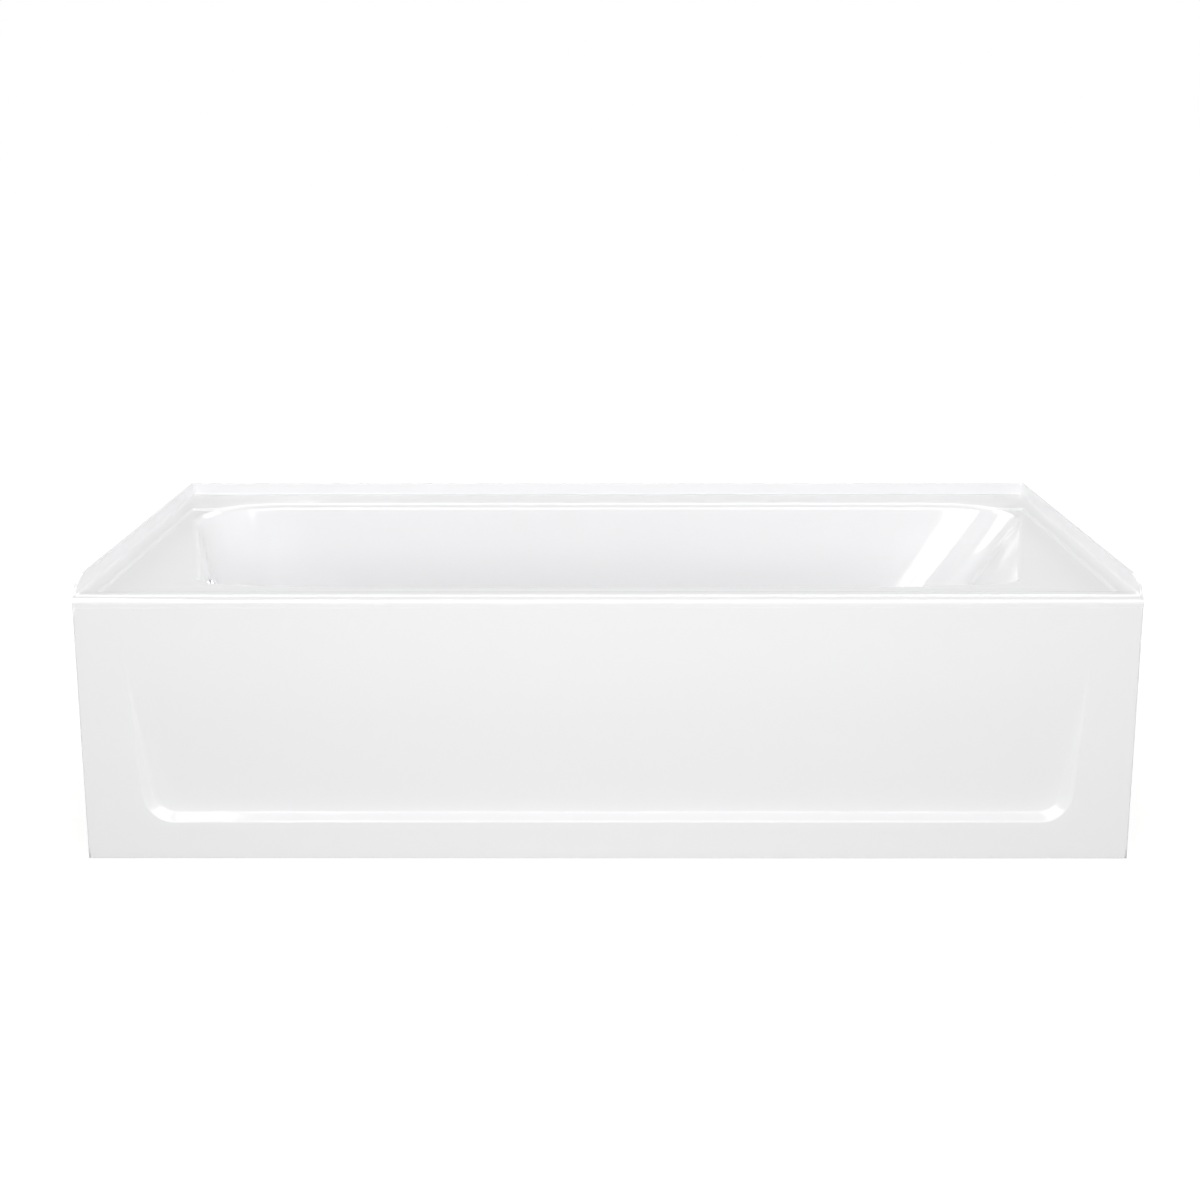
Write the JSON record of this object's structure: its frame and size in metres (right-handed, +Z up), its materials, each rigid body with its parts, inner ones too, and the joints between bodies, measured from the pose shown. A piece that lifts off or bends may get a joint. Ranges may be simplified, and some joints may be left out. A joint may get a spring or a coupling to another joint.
{
  "type": "alcove bathtub",
  "caption": "White acrylic alcove bathtub with tile flange on the back and both ends, recessed-panel apron, levelling feet, and a trip-lever pop-up waste at the left end.",
  "frame": {"origin": "on the floor, under the centre of the footprint", "axes": "+X along the bath from the drain end to the backrest end, +Y from the apron to the back wall, +Z up"},
  "size_m": [1.524, 0.8128, 0.416],
  "materials": {
    "white_acrylic": "gloss",
    "glass_fibre": "rough",
    "softwood": "sawn",
    "particle_board": "sanded",
    "zinc_plated_steel": "satin",
    "grey_nylon": "matt",
    "chrome": "polished",
    "black_rubber": "matt",
    "plumbers_putty": "matt",
    "black_abs": "satin",
    "brass": "satin"
  },
  "bodies": {
    "bath": {"apron_backing": "glass_fibre", "apron_foot_rail": "softwood", "apron_panel": "white_acrylic", "apron_top_rail": "softwood", "apron_upright_1": "softwood", "apron_upright_2": "softwood", "apron_upright_3": "softwood", "apron_upright_4": "softwood", "back_rail": "softwood", "base_board": "particle_board", "bath_shell": "white_acrylic", "bearer_screws": "zinc_plated_steel", "cross_bearer_1": "softwood", "cross_bearer_2": "softwood", "cross_bearer_3": "softwood", "drain_body": "chrome", "drain_gasket": "black_rubber", "drain_putty_ring": "plumbers_putty", "drain_shoe": "black_abs", "end_rail_left": "softwood", "end_rail_right": "softwood", "foot_inserts": "zinc_plated_steel", "foot_lock_nuts": "zinc_plated_steel", "lever_bracket": "brass", "lever_pin": "brass", "overflow_gasket": "black_rubber", "overflow_plate": "chrome", "overflow_tube": "black_abs", "plate_screws": "chrome", "shell_backing": "glass_fibre", "slip_nuts": "black_abs", "slip_washers": "black_rubber", "waste_tee": "black_abs"},
    "trip_lever": {"trip_lever": "chrome"},
    "linkage": {"linkage_rod": "brass", "linkage_nut": "brass", "linkage_striker": "brass"},
    "rocker": {"rocker_arm": "brass"},
    "stopper": {"stopper_cap": "chrome", "stopper_seal": "black_rubber", "stopper_stem": "brass"},
    "foot_1": {"foot_pad_1": "grey_nylon"},
    "foot_1_screw": {"foot_stem_1": "zinc_plated_steel"},
    "foot_2": {"foot_pad_2": "grey_nylon"},
    "foot_2_screw": {"foot_stem_2": "zinc_plated_steel"},
    "foot_3": {"foot_pad_3": "grey_nylon"},
    "foot_3_screw": {"foot_stem_3": "zinc_plated_steel"},
    "foot_4": {"foot_pad_4": "grey_nylon"},
    "foot_4_screw": {"foot_stem_4": "zinc_plated_steel"}
  },
  "joints": [
    {"name": "trip_lever_turn", "type": "hinge", "parent": "bath", "child": "trip_lever", "pos_m": [-0.66526, 0.00554, 0.27209], "axis": [0.213, -0.977, 0], "range_deg": [0, 29.6]},
    {"name": "linkage_drop", "type": "slide", "parent": "bath", "child": "linkage", "axis": [0, 0, -1], "range_m": [0, 0.01327]},
    {"name": "rocker_swing", "type": "hinge", "parent": "bath", "child": "rocker", "pos_m": [-0.58, 0, 0.0253], "axis": [0, -1, 0], "range_deg": [0, 6.88]},
    {"name": "stopper_lift", "type": "slide", "parent": "bath", "child": "stopper", "axis": [0, 0, 1], "range_m": [0, 0.012]},
    {"name": "foot_1_height", "type": "slide", "parent": "bath", "child": "foot_1", "axis": [0, 0, 1], "range_m": [-0.012, 0]},
    {"name": "foot_1_turn", "type": "hinge", "parent": "foot_1", "child": "foot_1_screw", "pos_m": [-0.36, -0.3184, 0.03], "axis": [0, 0, 1], "range_deg": [-2468.7, 0]},
    {"name": "foot_2_height", "type": "slide", "parent": "bath", "child": "foot_2", "axis": [0, 0, 1], "range_m": [-0.012, 0]},
    {"name": "foot_2_turn", "type": "hinge", "parent": "foot_2", "child": "foot_2_screw", "pos_m": [-0.36, 0.3184, 0.03], "axis": [0, 0, 1], "range_deg": [-2468.7, 0]},
    {"name": "foot_3_height", "type": "slide", "parent": "bath", "child": "foot_3", "axis": [0, 0, 1], "range_m": [-0.012, 0]},
    {"name": "foot_3_turn", "type": "hinge", "parent": "foot_3", "child": "foot_3_screw", "pos_m": [0.28654, -0.3184, 0.03], "axis": [0, 0, 1], "range_deg": [-2468.7, 0]},
    {"name": "foot_4_height", "type": "slide", "parent": "bath", "child": "foot_4", "axis": [0, 0, 1], "range_m": [-0.012, 0]},
    {"name": "foot_4_turn", "type": "hinge", "parent": "foot_4", "child": "foot_4_screw", "pos_m": [0.28654, 0.3184, 0.03], "axis": [0, 0, 1], "range_deg": [-2468.7, 0]}
  ],
  "couplings": [
    {"joint": "trip_lever_turn", "follows": "linkage_drop", "rad_per_m": 38.892},
    {"joint": "rocker_swing", "follows": "linkage_drop", "rad_per_m": 9.0368},
    {"joint": "stopper_lift", "follows": "linkage_drop", "ratio": 0.90368},
    {"joint": "foot_1_turn", "follows": "foot_1_height", "rad_per_m": 3590.4},
    {"joint": "foot_2_turn", "follows": "foot_2_height", "rad_per_m": 3590.4},
    {"joint": "foot_3_turn", "follows": "foot_3_height", "rad_per_m": 3590.4},
    {"joint": "foot_4_turn", "follows": "foot_4_height", "rad_per_m": 3590.4}
  ]
}
